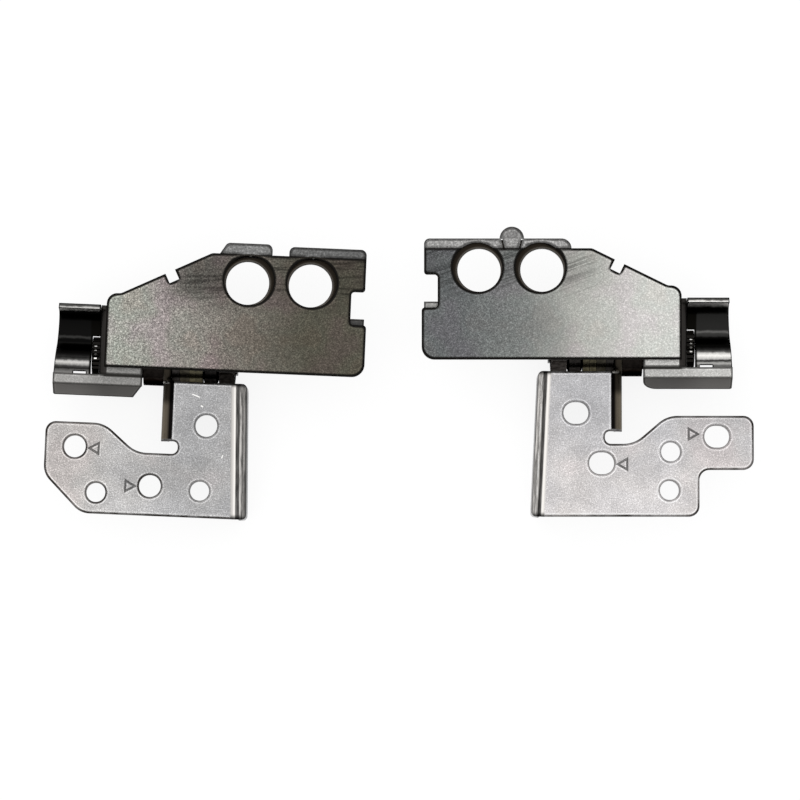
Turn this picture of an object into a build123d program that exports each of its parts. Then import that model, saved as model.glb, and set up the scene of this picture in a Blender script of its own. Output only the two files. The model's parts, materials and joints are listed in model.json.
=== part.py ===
from build123d import *
import math
import os

# A pair of friction hinges for a laptop, lying flat open with their outer faces up.
# Each hinge is drawn as a left one in its own frame, in millimetres: X runs from the outer edge
# of the lid plate to the middle of the laptop, Y runs from the pin's axis up the lid, and Z runs
# from the pin's axis towards the outer faces. The right hinge is mirrored before it is placed.

# How the two hinges lie
OUTER_EDGE_SPAN = 71.9  # from the outer edge of one lid plate to the other
LEFT_DROP = 0.9  # the left pin lies this much nearer to the front
LEFT_TURN = -2.4  # degrees about Z

# Base bracket
BASE_SHEET = 1.0
BASE_BEND = 0.5  # inside radius of the folds
BASE_UNDERSIDE = 2.1  # above the pin's axis
BASE_FOOT = 3.6  # lower edge of flange and ear, below the pin's axis
LEG_TOP = 2.9  # upper edge of the leg, below the pin's axis
EAR_FACE = 7.3  # outer face of the ear
EAR_END = 10.4  # lower end of the ear's fold
EAR_FOOT_RUN = 6.5  # how far the ear's straight foot runs from the pin
EAR_TAIL_RISE = 0.3  # height of the ear's tail above the pin's axis
FLANGE_FACE = 17.8  # outer face of the flange at the top of the leg
LEFT_FLANGE_LEAN = 2.0  # degrees that the flange leans out towards its lower end
RIGHT_FLANGE_LEAN = 2.8
FLANGE_CORNER = 1.2
FLANGE_END_R = 0.6  # rounding of the flange's two ends, seen from above
RELIEF_DEPTH = 0.7  # relief cut beside the ear's fold
RELIEF_R = 0.9
VALLEY = 12.0  # lowest line of the gap between leg and arm
ARM_TOP = 8.5
ARM_CURVE_RUN = 4.1  # length of the sloping part between valley and arm
ARM_CURVE_R = 3.6
ARM_CORNER_R = 1.3
LEFT_ARM_CURVE = 0.2  # where the arm's upper edge starts to fall
LEFT_ARM_END = 7.1
LEFT_ARM_SIDE = 15.1  # where the cut corner starts
LEFT_CUT_RUN = 4.8  # width of the cut corner
LEFT_CUT_R = 2.6
LEFT_BOTTOM = 19.85
RIGHT_ARM_CURVE = 1.75
RIGHT_ARM_END = 9.1
RIGHT_ARM_BOTTOM = 15.25
RIGHT_LEG_SIDE = 2.3  # outer side of the leg below the arm
RIGHT_BOTTOM = 21.1
SCREW_HOLE = 2.75  # clears a 2.5 mm screw
SLOT_EXTRA = 0.4  # how much longer than wide the right bracket's screw holes are
LOCATING_HOLE = 2.4
LEFT_SCREWS = [(-3.36, -11.55), (6.22, -16.12), (12.95, -8.32)]
LEFT_LOCATORS = [(-0.48, -17.2), (12.46, -16.5)]
RIGHT_SCREWS = [(-4.5, -11.1), (9.9, -14.42), (13.1, -8.13)]
RIGHT_LOCATORS = [(1.28, -13.0), (1.44, -17.82)]

# Lid plate
PLATE_SHEET = 0.9
PLATE_COINED = 0.6  # thickness of the coined top margin
PLATE_FOOT = 1.57  # lower edge, below the pin's axis
PLATE_LENGTH = 32.4
PLATE_STEP = 0.3  # the upper inner edge stands back by this much
PLATE_CORNER = 1.6
LEFT_TOP_MARGIN = 3.22  # from the middle of the large holes to the top
RIGHT_TOP_MARGIN = 2.37
SHOULDER = 7.65  # height of the outer shoulder
SHOULDER_FLAT = 1.7
SHOULDER_R = 1.05
SHOULDER_CORNER = 1.3
SLOPE = 26.2  # degrees
SLOPE_NOTCH_AT = 6.7  # along the slope
SLOPE_NOTCH_WIDTH = 1.3
SLOPE_NOTCH_DEPTH = 1.3
NOTCH_BOTTOM = 4.9
NOTCH_HEIGHT = 4.15
NOTCH_DEPTH = 2.0
NOTCH_R = 0.4
BOSS_HOLE = 6.2
BOSS_MARGIN = 6.95  # from the inner edge to the middle of the nearer hole
BOSS_PITCH = 7.85
BOSS_HEIGHT = 9.93
LEFT_TAB_LENGTH = 6.55
LEFT_TAB_SLANT = 0.9
LEFT_TAB_RISE = 1.4
LEFT_TAB_GAP = 2.1
LEFT_STRIP_LENGTH = 9.65
LEFT_STRIP_RISE = 1.2
RIGHT_STRIP_LENGTH = 18.4
RIGHT_STRIP_RISE = 1.25
TAB_R = 0.7
TONGUE_MARGIN = 10.95  # from the strip's inner end to the middle of the tongue
TONGUE_HEAD = 3.05
TONGUE_RISE = 1.2  # centre of the round head above the plate's top
TONGUE_NECK = 2.05
TONGUE_TAPER = 13.0  # degrees that each side of the neck leans in
TONGUE_SLIT = 0.2

# Lid carrier
CARRIER_SHEET = 0.8
CARRIER_BACK = 3.9  # back face above the pin's axis
CARRIER_BEND = 0.3
CARRIER_INSET = 0.35  # how far it stays inside the plate's outline
CARRIER_TOP_INSET = 0.13
CARRIER_SLOPE_INSET = 2.0
CARRIER_LEDGE = 0.8  # height of the ledge that shows in the inner notch
CARRIER_HOLE = 5.4
CARRIER_HOLE_SHIFT = (-0.22, -0.3)
EAR_STANDOFF = 0.75  # outer face of the carrier's ear beyond the plate's outer edge
EAR_R = 3.1
EAR_TOP = 6.2
LEDGE_END = 4.7
LEDGE_STEP = 2.45  # upper edge of the ledge, below the pin's axis
LEDGE_FRONT = 3.75
LEDGE_LAP = 0.85  # how far the ledge reaches behind the carrier
WALL_RUN = 1.32
WALL_DROP = 2.2
WALL_SLANT = 1.15  # how far the left wall's inner end is cut back
WALL_CORNER_R = 1.7  # rounding of the right wall's inner end

# Cable guide
GUIDE_SHEET = 0.65
GUIDE_R = 3.5  # upper side of the trough
GUIDE_LOWER_R = 1.5  # lower side of the trough
GUIDE_ROLL_R = 3.0  # rolled rim between trough and band
GUIDE_ROLL = 47.0  # degrees that the lower side turns up and back again
GUIDE_CENTRE = 2.0  # deepest line of the trough, above the pin's axis
GUIDE_END = 6.45  # outer end of the band, beyond the plate's outer edge
GUIDE_SLANT = 0.5  # how much shorter the upper lip is
GUIDE_LIP = 0.2  # straight stretch at the upper lip
GUIDE_LAP = 0.7  # how far the band reaches under the ledge
HEAD_ROOM = 0.02
GUIDE_SLOT = 1.6
GUIDE_SLOT_AT = 3.2

# Pin and its stack
HEAD_R = 2.4
HEAD_LENGTH = 1.05
HEAD_TEETH = 24
HEAD_TOOTH = 0.2
NECK_R = 2.0
BODY_R = 2.5
SHOULDER_PIN_R = 3.4
JOURNAL_R = 2.2
ACROSS_FLATS = 3.3
RUNNING_FIT = 0.05
KEY_FIT = 0.03
WASHER_R = 3.2
EAR_WASHER = 0.95
THRUST_WASHER = 1.2
BRASS_WASHER = 0.85
BRASS_COUNT = 2
SPRING_SHEET = 0.7
SPRING_CONE = 0.3
SPRING_COUNT = 2
NUT_FLATS = 5.5
NUT_HEIGHT = 2.0
NUT_CHAMFER = 0.35
TAIL = 0.3

# Worked out from the sizes above
SIDE_SHARE = 0.94  # of a side that its two rounded corners may use
BASE_FACE = BASE_UNDERSIDE + BASE_SHEET
BASE_FOLD_R = BASE_BEND + BASE_SHEET
EAR_INNER = EAR_FACE + BASE_SHEET
EAR_FOLD = EAR_FACE + BASE_FOLD_R
FLANGE_FOLD = FLANGE_FACE - BASE_FOLD_R
CARRIER_FRONT = CARRIER_BACK + CARRIER_SHEET
UPPER_LENGTH = PLATE_LENGTH - PLATE_STEP
BOSS_FIRST = PLATE_LENGTH - BOSS_MARGIN - BOSS_PITCH
CARRIER_EAR_INNER = CARRIER_SHEET - EAR_STANDOFF
LEDGE_UNDERSIDE = CARRIER_BACK - CARRIER_SHEET
HEAD_END = EAR_STANDOFF + HEAD_LENGTH
STACK_START = EAR_INNER + RUNNING_FIT
TAN_SLOPE = math.tan(math.radians(SLOPE))


def outline(*corners):
    """Flat face through (x, y, radius) corners; two radii that ask for more than their side shrink alike."""
    points = [Vector(x, y) for x, y, _ in corners]
    sides = []
    reaches = []
    for index, (_, _, radius) in enumerate(corners):
        before = points[index - 1] - points[index]
        after = points[(index + 1) % len(points)] - points[index]
        sides.append(before.length)
        reaches.append(radius / math.tan(math.radians(before.get_angle(after)) / 2))
    room = []
    for index, side in enumerate(sides):
        asked = reaches[index - 1] + reaches[index]
        room.append(min(1, SIDE_SHARE * side / asked) if asked else 1)
    radii = []
    for index, (_, _, radius) in enumerate(corners):
        radii.append(radius * min(room[index], room[(index + 1) % len(points)]))
    return make_face(FilletPolyline(*points, radius=radii, close=True).edges())


def along_x(face, start, end):
    """Prism of a face drawn in Y and Z."""
    return extrude(Plane.YZ.offset(start) * face, end - start, dir=(1, 0, 0))


def along_z(face, low, high):
    """Prism of a face drawn in X and Y."""
    return extrude(Plane.XY.offset(low) * face, high - low, dir=(0, 0, 1))


def down_y(face, top, length):
    """Prism of a face drawn in X and Z, from Y top towards the front."""
    return extrude(Plane.XZ.offset(-top) * face, length, dir=(0, -1, 0))


def fold(bend, sheet, side):
    """Quarter ring of folded sheet about the origin, opening to one side in X."""
    reach = bend + sheet
    ring = Circle(reach) - Circle(bend)
    return ring & (Pos(side * reach / 2, reach / 2) * Rectangle(reach, reach))


def flange_foot(bottom, lean):
    """Lower end of the flange's fold line, for a bracket that ends at this depth."""
    return (FLANGE_FOLD + (bottom - LEG_TOP) * math.tan(math.radians(lean)), -bottom)


def leg_corners():
    """Corners that both brackets share: the leg's top, the ear's fold and the relief cut."""
    relief = EAR_FOLD + RELIEF_DEPTH
    return [
        (FLANGE_FOLD, -LEG_TOP, 0),
        (EAR_FOLD, -LEG_TOP, 0),
        (EAR_FOLD, -EAR_END, 0),
        (relief, -EAR_END, RELIEF_R),
        (relief, -VALLEY, RELIEF_R),
    ]


def arm_curve(start):
    """Corners of the curve from the valley up to the arm's upper edge."""
    return [(start + ARM_CURVE_RUN, -VALLEY, ARM_CURVE_R), (start, -ARM_TOP, ARM_CURVE_R)]


def left_base_face():
    """Left bracket seen flat: its arm has a cut lower corner."""
    face = outline(
        *leg_corners(),
        *arm_curve(LEFT_ARM_CURVE),
        (-LEFT_ARM_END, -ARM_TOP, ARM_CORNER_R),
        (-LEFT_ARM_END, -LEFT_ARM_SIDE, LEFT_CUT_R),
        (LEFT_CUT_RUN - LEFT_ARM_END, -LEFT_BOTTOM, LEFT_CUT_R),
        (*flange_foot(LEFT_BOTTOM, LEFT_FLANGE_LEAN), 0),
    )
    face -= [Pos(*spot) * Circle(SCREW_HOLE / 2) for spot in LEFT_SCREWS]
    return face - [Pos(*spot) * Circle(LOCATING_HOLE / 2) for spot in LEFT_LOCATORS]


def right_base_face():
    """Right bracket seen flat: its arm is a tab above a square step, and its screw holes are slots."""
    face = outline(
        *leg_corners(),
        *arm_curve(RIGHT_ARM_CURVE),
        (-RIGHT_ARM_END, -ARM_TOP, ARM_CORNER_R),
        (-RIGHT_ARM_END, -RIGHT_ARM_BOTTOM, ARM_CORNER_R),
        (-RIGHT_LEG_SIDE, -RIGHT_ARM_BOTTOM, ARM_CORNER_R),
        (-RIGHT_LEG_SIDE, -RIGHT_BOTTOM, ARM_CORNER_R),
        (*flange_foot(RIGHT_BOTTOM, RIGHT_FLANGE_LEAN), 0),
    )
    slot = SlotOverall(SCREW_HOLE + SLOT_EXTRA, SCREW_HOLE)
    face -= [Pos(*spot) * slot for spot in RIGHT_SCREWS]
    return face - [Pos(*spot) * Circle(LOCATING_HOLE / 2) for spot in RIGHT_LOCATORS]


def inner_flange(bottom, lean):
    """Down-turned inner flange with its fold, leaning out towards its lower end."""
    drop = BASE_UNDERSIDE - BASE_BEND + BASE_FOOT
    side = Pos(BASE_BEND + BASE_SHEET / 2, -drop / 2) * Rectangle(BASE_SHEET, drop)
    length = (bottom - LEG_TOP) / math.cos(math.radians(lean))
    flange = down_y(fold(BASE_BEND, BASE_SHEET, 1) + side, 0, length)
    flange = fillet(flange.edges().filter_by(Axis.X).group_by(Axis.Z)[0], FLANGE_CORNER)
    plan = outline(
        (0, 0, 0), (BASE_FOLD_R, 0, FLANGE_END_R), (BASE_FOLD_R, -length, FLANGE_END_R), (0, -length, 0)
    )
    flange &= along_z(plan, -drop, BASE_FOLD_R)
    return Pos(FLANGE_FOLD, -LEG_TOP, BASE_UNDERSIDE - BASE_BEND) * Rot(0, 0, lean) * flange


def base_bracket(face, bottom, lean):
    """Folded bracket: flat sheet, leaning inner flange, and outer ear with the pin's bearing hole."""
    sheet = along_z(face, BASE_UNDERSIDE, BASE_FACE)
    fold_height = BASE_UNDERSIDE - BASE_BEND
    ear_fold = Pos(EAR_FOLD, fold_height) * fold(BASE_BEND, BASE_SHEET, -1)
    ear_face = outline(
        (0, -BASE_FOOT, 0),
        (0, fold_height, 0),
        (-EAR_END, fold_height, 0),
        (-EAR_END, EAR_TAIL_RISE, RELIEF_R),
        (-EAR_FOOT_RUN, -BASE_FOOT, RELIEF_R),
    )
    ear_face = ear_face + Circle(BASE_FOOT) - Circle(JOURNAL_R + RUNNING_FIT)
    ear = down_y(ear_fold, -LEG_TOP, EAR_END - LEG_TOP) + along_x(ear_face, EAR_FACE, EAR_INNER)

    return sheet + ear + inner_flange(bottom, lean)


def slope_end(top):
    """Where the sloped shoulder meets a top edge at this height."""
    return SHOULDER_FLAT + (top - SHOULDER) / TAN_SLOPE


def boss_spots(shift=(0, 0)):
    """Centres of the two large holes."""
    return [Pos(BOSS_FIRST + step * BOSS_PITCH + shift[0], BOSS_HEIGHT + shift[1]) for step in (0, 1)]


def left_margin(top):
    """Coined top margin of the left plate: two separate tabs."""
    strip_start = UPPER_LENGTH - LEFT_STRIP_LENGTH
    tab_end = strip_start - LEFT_TAB_GAP
    tab_start = tab_end - LEFT_TAB_LENGTH
    tab = outline(
        (tab_start, top - TAB_R, 0),
        (tab_start, top, 0),
        (tab_start + LEFT_TAB_SLANT, top + LEFT_TAB_RISE, TAB_R),
        (tab_end, top + LEFT_TAB_RISE, TAB_R),
        (tab_end, top - TAB_R, 0),
    )
    strip = outline(
        (strip_start, top - TAB_R, 0),
        (strip_start, top + LEFT_STRIP_RISE, TAB_R),
        (UPPER_LENGTH, top + LEFT_STRIP_RISE, TAB_R),
        (UPPER_LENGTH, top - TAB_R, 0),
    )
    return tab + strip


def right_margin(top):
    """Coined top margin of the right plate: one strip with a round-headed tongue between two slits."""
    strip_start = UPPER_LENGTH - RIGHT_STRIP_LENGTH
    tongue = UPPER_LENGTH - TONGUE_MARGIN
    strip = outline(
        (strip_start, top - TAB_R, 0),
        (strip_start, top + RIGHT_STRIP_RISE, RIGHT_STRIP_RISE),
        (UPPER_LENGTH, top + RIGHT_STRIP_RISE, TAB_R),
        (UPPER_LENGTH, top - TAB_R, 0),
    )
    strip += Pos(tongue, top + TONGUE_RISE) * Circle(TONGUE_HEAD / 2)
    slit_offset = (TONGUE_NECK + TONGUE_SLIT) / 2
    slit = Rectangle(TONGUE_SLIT, RIGHT_STRIP_RISE)
    for side in (-1, 1):
        middle = Pos(tongue + side * slit_offset, top + RIGHT_STRIP_RISE / 2)
        strip -= middle * Rot(0, 0, -side * TONGUE_TAPER) * slit
    return strip


def lid_plate(top, margin):
    """Dark front plate with its shoulder, notches and large holes, and the coined margin above."""
    notch_top = NOTCH_BOTTOM + NOTCH_HEIGHT
    notch_side = PLATE_LENGTH - NOTCH_DEPTH
    face = outline(
        (0, -PLATE_FOOT, 0),
        (0, SHOULDER, SHOULDER_CORNER),
        (SHOULDER_FLAT, SHOULDER, SHOULDER_R),
        (slope_end(top), top, SHOULDER_R),
        (UPPER_LENGTH, top, 0),
        (UPPER_LENGTH, notch_top, NOTCH_R),
        (notch_side, notch_top, NOTCH_R),
        (notch_side, NOTCH_BOTTOM, NOTCH_R),
        (PLATE_LENGTH, NOTCH_BOTTOM, NOTCH_R),
        (PLATE_LENGTH, -PLATE_FOOT, PLATE_CORNER),
    )
    run = SLOPE_NOTCH_AT * math.cos(math.radians(SLOPE))
    mouth = Pos(SHOULDER_FLAT + run, SHOULDER + run * TAN_SLOPE) * Rot(0, 0, SLOPE)
    face -= mouth * Rectangle(SLOPE_NOTCH_WIDTH, 2 * SLOPE_NOTCH_DEPTH)
    front = CARRIER_FRONT + PLATE_SHEET
    plate = along_z(face, CARRIER_FRONT, front)
    plate += along_z(margin, CARRIER_FRONT, CARRIER_FRONT + PLATE_COINED)
    for boss in boss_spots():
        plate -= along_z(boss * Circle(BOSS_HOLE / 2), CARRIER_FRONT, front)
    return plate


def carrier_face(highest):
    """Flat of the carrier behind the plate, kept inside the plate's outline and below its highest line."""
    start = CARRIER_EAR_INNER + CARRIER_BEND
    shoulder = SHOULDER - CARRIER_SLOPE_INSET
    upper = highest - CARRIER_TOP_INSET
    inner = UPPER_LENGTH - CARRIER_INSET
    notch_side = PLATE_LENGTH - NOTCH_DEPTH - CARRIER_INSET
    notch_top = NOTCH_BOTTOM + NOTCH_HEIGHT + CARRIER_INSET
    foot = CARRIER_INSET - PLATE_FOOT
    face = outline(
        (start, -LEDGE_STEP, 0),
        (start, shoulder, 0),
        (SHOULDER_FLAT, shoulder, 0),
        (SHOULDER_FLAT + (upper - shoulder) / TAN_SLOPE, upper, 0),
        (inner, upper, 0),
        (inner, notch_top, 0),
        (notch_side, notch_top, 0),
        (notch_side, NOTCH_BOTTOM + CARRIER_LEDGE, 0),
        (UPPER_LENGTH, NOTCH_BOTTOM + CARRIER_LEDGE, 0),
        (UPPER_LENGTH, foot, PLATE_CORNER),
        (LEDGE_END, foot, 0),
        (LEDGE_END, -LEDGE_STEP, 0),
    )
    return face - [spot * Circle(CARRIER_HOLE / 2) for spot in boss_spots(CARRIER_HOLE_SHIFT)]


def front_wall(corner_radius):
    """Sloped wall below the ledge; its inner end is cut back, straight or rounded."""
    length = math.hypot(WALL_RUN, WALL_DROP)
    corner = LEDGE_END - (0 if corner_radius else WALL_SLANT)
    face = outline(
        (-GUIDE_END, 0, 0),
        (LEDGE_END, 0, 0),
        (corner, -length, corner_radius),
        (-GUIDE_END, -length, CARRIER_BEND),
    )
    outward = Vector(0, -WALL_DROP, WALL_RUN)
    plane = Plane(origin=(0, -LEDGE_FRONT, CARRIER_BACK), x_dir=(1, 0, 0), z_dir=outward)
    return extrude(plane * face, CARRIER_SHEET, dir=tuple(-outward.normalized()))


def lid_carrier(highest, wall_corner):
    """Folded carrier: flat sheet, ear that grips the pin, ledge below the plate and its front wall."""
    sheet = along_z(carrier_face(highest), CARRIER_BACK, CARRIER_FRONT)
    fold_x = CARRIER_EAR_INNER + CARRIER_BEND
    fold_z = CARRIER_BACK - CARRIER_BEND
    shoulder = SHOULDER - CARRIER_SLOPE_INSET
    ear_fold = Pos(fold_x, fold_z) * fold(CARRIER_BEND, CARRIER_SHEET, -1)
    ear_top = Pos((EAR_TOP - LEDGE_STEP) / 2, fold_z - CARRIER_BEND / 2)
    ear_bar = ear_top * Rectangle(EAR_TOP + LEDGE_STEP, CARRIER_BEND)
    ear_face = make_hull((ear_bar + Circle(EAR_R)).edges()) - Circle(NECK_R)
    ear = along_x(ear_face, -EAR_STANDOFF, CARRIER_EAR_INNER)
    ear += down_y(ear_fold, shoulder, shoulder + LEDGE_STEP)
    lap = outline(
        (CARRIER_EAR_INNER, -LEDGE_STEP, 0),
        (CARRIER_EAR_INNER, LEDGE_LAP - LEDGE_STEP, 0),
        (LEDGE_END, LEDGE_LAP - LEDGE_STEP, 0),
        (LEDGE_END, -LEDGE_FRONT, 0),
        (-GUIDE_END, -LEDGE_FRONT, 0),
        (-GUIDE_END, -LEDGE_STEP, 0),
    )
    ledge = along_z(lap, LEDGE_UNDERSIDE, CARRIER_BACK)
    return sheet + ear + ledge + front_wall(wall_corner)


def guide_section():
    """Section of the cable guide: upper lip, round trough, rolled lower rim and lapped band."""
    turn = math.radians(GUIDE_ROLL)
    lower_radii = GUIDE_LOWER_R + GUIDE_ROLL_R
    deepest = LEDGE_UNDERSIDE - lower_radii * (1 - math.cos(turn))
    band_start = GUIDE_CENTRE - lower_radii * math.sin(turn)
    band_end = -LEDGE_STEP - GUIDE_LAP
    lip_start = deepest + GUIDE_R
    lower_centre = (GUIDE_CENTRE, deepest + GUIDE_LOWER_R)
    roll_centre = (band_start, LEDGE_UNDERSIDE - GUIDE_ROLL_R)
    sides = []
    for depth in (0, GUIDE_SHEET):
        lip = GUIDE_CENTRE + GUIDE_R + depth
        band = LEDGE_UNDERSIDE - depth
        sides += [
            Line((lip, lip_start + GUIDE_LIP), (lip, lip_start)),
            CenterArc((GUIDE_CENTRE, lip_start), GUIDE_R + depth, 270, 90),
            CenterArc(lower_centre, GUIDE_LOWER_R + depth, 270 - GUIDE_ROLL, GUIDE_ROLL),
            CenterArc(roll_centre, GUIDE_ROLL_R - depth, 90 - GUIDE_ROLL, GUIDE_ROLL),
            Line((band_start, band), (band_end, band)),
        ]
    sides.append(Line(sides[0] @ 0, sides[5] @ 0))
    sides.append(Line(sides[4] @ 1, sides[9] @ 1))
    return make_face(sides)


def cable_guide():
    """Glossy trough outside the ear, cut away round the pin's head, with a slot in its band."""
    section = guide_section()
    guide = along_x(section, -GUIDE_END, -EAR_STANDOFF)
    box = section.bounding_box()
    room = HEAD_R + HEAD_ROOM
    near_head = Pos((box.min.X + room) / 2, box.center().Y) * Rectangle(room - box.min.X, box.size.Y)
    guide -= along_x(near_head, -HEAD_END - HEAD_ROOM, -EAR_STANDOFF)
    slant = outline(
        (-GUIDE_END, -LEDGE_STEP, 0), (GUIDE_SLANT - GUIDE_END, box.max.X, 0), (-GUIDE_END, box.max.X, 0)
    )
    guide -= along_z(slant, box.min.Y, box.max.Y)
    slot_y = -LEDGE_STEP + GUIDE_SHEET / 4
    slot = Pos(-GUIDE_SLOT_AT, slot_y) * Rectangle(GUIDE_SLOT, GUIDE_SHEET / 2)
    return guide - along_z(slot, box.min.Y, LEDGE_UNDERSIDE)


def flatted(radius, flats):
    """Round section with two flats."""
    return Circle(radius) & Rectangle(flats, 2 * radius)


def stack_stations():
    """Start of each piece of the stack along the pin, and the end of the last one."""
    spring_pitch = SPRING_SHEET + SPRING_CONE
    lengths = [
        EAR_WASHER,
        THRUST_WASHER,
        BRASS_COUNT * BRASS_WASHER,
        SPRING_COUNT * spring_pitch,
        NUT_HEIGHT,
    ]
    stations = [STACK_START]
    for length in lengths:
        stations.append(stations[-1] + length)
    return stations


def serrated_head():
    """Star section of the pin's head."""
    corners = []
    for index in range(2 * HEAD_TEETH):
        angle = math.pi * index / HEAD_TEETH
        radius = HEAD_R - HEAD_TOOTH * (index % 2)
        corners.append((radius * math.cos(angle), radius * math.sin(angle)))
    return make_face(Polyline(*corners, close=True).edges())


def pin_shaft():
    """Turned pin: serrated head, neck in the carrier's ear, shoulder, journal and flatted tail."""
    tail_end = stack_stations()[-1] + TAIL
    shoulder_end = EAR_FACE - RUNNING_FIT
    pin = along_x(serrated_head(), -HEAD_END, -EAR_STANDOFF)
    pin += along_x(Circle(NECK_R), -EAR_STANDOFF, CARRIER_EAR_INNER)
    pin += along_x(Circle(BODY_R), CARRIER_EAR_INNER, LEDGE_END + RUNNING_FIT)
    pin += along_x(Circle(SHOULDER_PIN_R), LEDGE_END + RUNNING_FIT, shoulder_end)
    pin += along_x(Circle(JOURNAL_R), shoulder_end, STACK_START)
    return pin + along_x(flatted(JOURNAL_R, ACROSS_FLATS), STACK_START, tail_end)


def washer(start, length):
    """Keyed washer on the pin's flats."""
    face = Circle(WASHER_R) - flatted(JOURNAL_R + KEY_FIT, ACROSS_FLATS + 2 * KEY_FIT)
    return along_x(face, start, start + length)


def disc_spring(start, cone):
    """Dished spring ring; a negative cone dishes it the other way."""
    low = start + max(0, -cone)
    inner = JOURNAL_R + KEY_FIT
    section = Polyline(
        (low, inner),
        (low + cone, WASHER_R),
        (low + cone + SPRING_SHEET, WASHER_R),
        (low + SPRING_SHEET, inner),
        close=True,
    )
    return revolve(make_face(section.edges()), Axis.X)


def lock_nut(start):
    """Hexagon nut with its corners turned off on the outer side."""
    corner_r = NUT_FLATS / math.sqrt(3)
    nut = along_x(RegularPolygon(corner_r, 6), start, start + NUT_HEIGHT)
    turned = along_x(Circle(corner_r), start, start + NUT_HEIGHT)
    turned = chamfer(turned.faces().sort_by(Axis.X)[-1].edges(), NUT_CHAMFER)
    return (nut & turned) - along_x(Circle(JOURNAL_R + KEY_FIT), start, start + NUT_HEIGHT)


def stack_pieces():
    """The washers, springs and nut on the pin's tail."""
    ear_start, thrust_start, brass_start, spring_start, nut_start, _ = stack_stations()
    spring_pitch = SPRING_SHEET + SPRING_CONE
    brass = [washer(brass_start + step * BRASS_WASHER, BRASS_WASHER) for step in range(BRASS_COUNT)]
    springs = [
        disc_spring(spring_start + step * spring_pitch, SPRING_CONE * (-1) ** step)
        for step in range(SPRING_COUNT)
    ]
    return {
        "ear_washer": [washer(ear_start, EAR_WASHER)],
        "thrust_washer": [washer(thrust_start, THRUST_WASHER)],
        "brass_washers": brass,
        "disc_springs": springs,
        "lock_nut": [lock_nut(nut_start)],
    }


def hinge(is_left):
    """All pieces of one hinge in its own frame, as lists of solids by name."""
    top = BOSS_HEIGHT + (LEFT_TOP_MARGIN if is_left else RIGHT_TOP_MARGIN)
    highest = top if is_left else top + RIGHT_STRIP_RISE
    margin = left_margin(top) if is_left else right_margin(top)
    base_face = left_base_face() if is_left else right_base_face()
    bottom = LEFT_BOTTOM if is_left else RIGHT_BOTTOM
    lean = LEFT_FLANGE_LEAN if is_left else RIGHT_FLANGE_LEAN
    wall_corner = 0 if is_left else WALL_CORNER_R
    pieces = {
        "lid_plate": [lid_plate(top, margin)],
        "lid_carrier": [lid_carrier(highest, wall_corner)],
        "cable_guide": [cable_guide()],
        "base_bracket": [base_bracket(base_face, bottom, lean)],
        "pin_shaft": [pin_shaft()],
    }
    pieces.update(stack_pieces())
    return pieces


def spot(is_left):
    """Place of a hinge's own frame in the pair, before the pair is centred."""
    if is_left:
        return Pos(-OUTER_EDGE_SPAN / 2, -LEFT_DROP, BASE_FOOT) * Rot(0, 0, LEFT_TURN)
    return Pos(OUTER_EDGE_SPAN / 2, 0, BASE_FOOT)


def hinge_pair():
    """Solids of both hinges by node name, centred on the surface that they lie on."""
    placed = {}
    for side in ("left", "right"):
        is_left = side == "left"
        for name, shapes in hinge(is_left).items():
            solids = [solid for shape in shapes for solid in shape.solids()]
            if not is_left:
                solids = [solid.mirror(Plane.YZ) for solid in solids]
            placed[f"{side}_{name}"] = [spot(is_left) * solid for solid in solids]
    box = Compound([solid for solids in placed.values() for solid in solids]).bounding_box()
    shift = Pos(-box.center().X, -box.center().Y, 0)
    return {name: [shift * solid for solid in solids] for name, solids in placed.items()}, shift


pair, pair_shift = hinge_pair()
os.makedirs("parts", exist_ok=True)
for name, solids in pair.items():
    export_step(solids[0] if len(solids) == 1 else Compound(solids), f"parts/{name}.step")
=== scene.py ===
import json
import math

import bpy
import numpy as np
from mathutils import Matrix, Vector

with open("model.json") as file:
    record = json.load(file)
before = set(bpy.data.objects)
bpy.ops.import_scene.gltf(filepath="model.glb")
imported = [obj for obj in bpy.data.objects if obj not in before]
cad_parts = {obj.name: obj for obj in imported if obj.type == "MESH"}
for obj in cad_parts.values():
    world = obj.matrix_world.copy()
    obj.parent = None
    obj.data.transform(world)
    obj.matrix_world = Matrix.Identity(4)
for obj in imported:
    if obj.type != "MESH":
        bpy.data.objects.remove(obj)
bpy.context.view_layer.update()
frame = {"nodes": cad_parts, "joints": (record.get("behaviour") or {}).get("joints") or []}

bl_info = {
    "name": "Laptop Hinge Pair",
    "version": (2, 0, 0),
    "blender": (4, 5, 0),
    "location": "View3D > Sidebar > Hinges",
    "description": "Finishes and studio for a pair of laptop friction hinges",
    "category": "Object",
}

MM = 0.001
SIDES = ("left", "right")
MIX_FIRST, MIX_SECOND, MIX_OUT = 6, 7, 2  # colour sockets of a Mix node

# Places in each hinge's own frame, in millimetres: from the lid plate's outer edge inward, from the
# pin's axis up the lid, and from the axis towards the outer faces
PLATE_LENGTH = 32.4
PLATE_TOP = {"left": 13.15, "right": 12.3}
CARRIER_FRONT = 4.7
LEDGE_TOP = -2.45
LEDGE_FRONT = -3.75
TOOTH_PITCH = 0.52
BRACKET_FACE = 3.1
LEG_TOP = -2.9

# Painted edge light, by how far the rounded normal leaves the flat one: where the painted highlight line
# comes and goes, and where the painted dark reflection on the edge grows
BEVEL_SAMPLES = 16
LINE_RISE = (0.0, 0.0015)
LINE_FALL = (0.012, 0.004)
EDGE_RISE = (0.005, 0.03)

# Blasted grain: limits of its dips and peaks in the noise, and how far they darken and brighten
GRAIN_DIPS = (0.3, 0.5)
GRAIN_PEAKS = (0.5, 0.7)
DIP_DEPTH = 0.75
PEAK_HEIGHT = 1.6
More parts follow.
